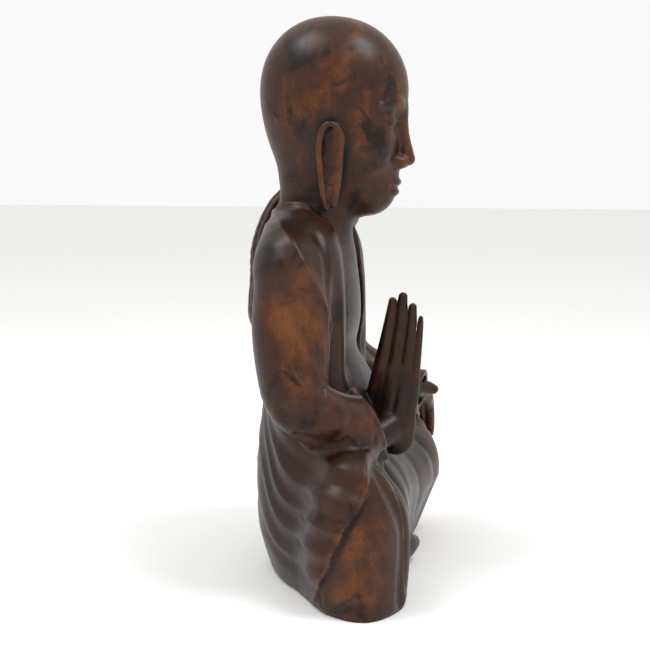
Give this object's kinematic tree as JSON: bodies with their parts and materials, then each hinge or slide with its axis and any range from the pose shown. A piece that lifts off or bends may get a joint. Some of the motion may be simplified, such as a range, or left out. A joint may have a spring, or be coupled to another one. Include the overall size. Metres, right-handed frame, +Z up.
{
  "type": "wooden buddha statue",
  "caption": "Carved wooden figure seated cross-legged with a raised hand, for standing on a shelf or table.",
  "frame": {"origin": "middle of the bounding box in plan, on the plane that the flat underside stands on", "axes": "+Z up, the figure faces -Y, its right side is at -X"},
  "size_m": [0.2752, 0.1394, 0.4006],
  "materials": {
    "wood": "dark stained and waxed, rubbed lighter on raised parts"
  },
  "bodies": {
    "root": {"statue": "wood"}
  },
  "joints": []
}
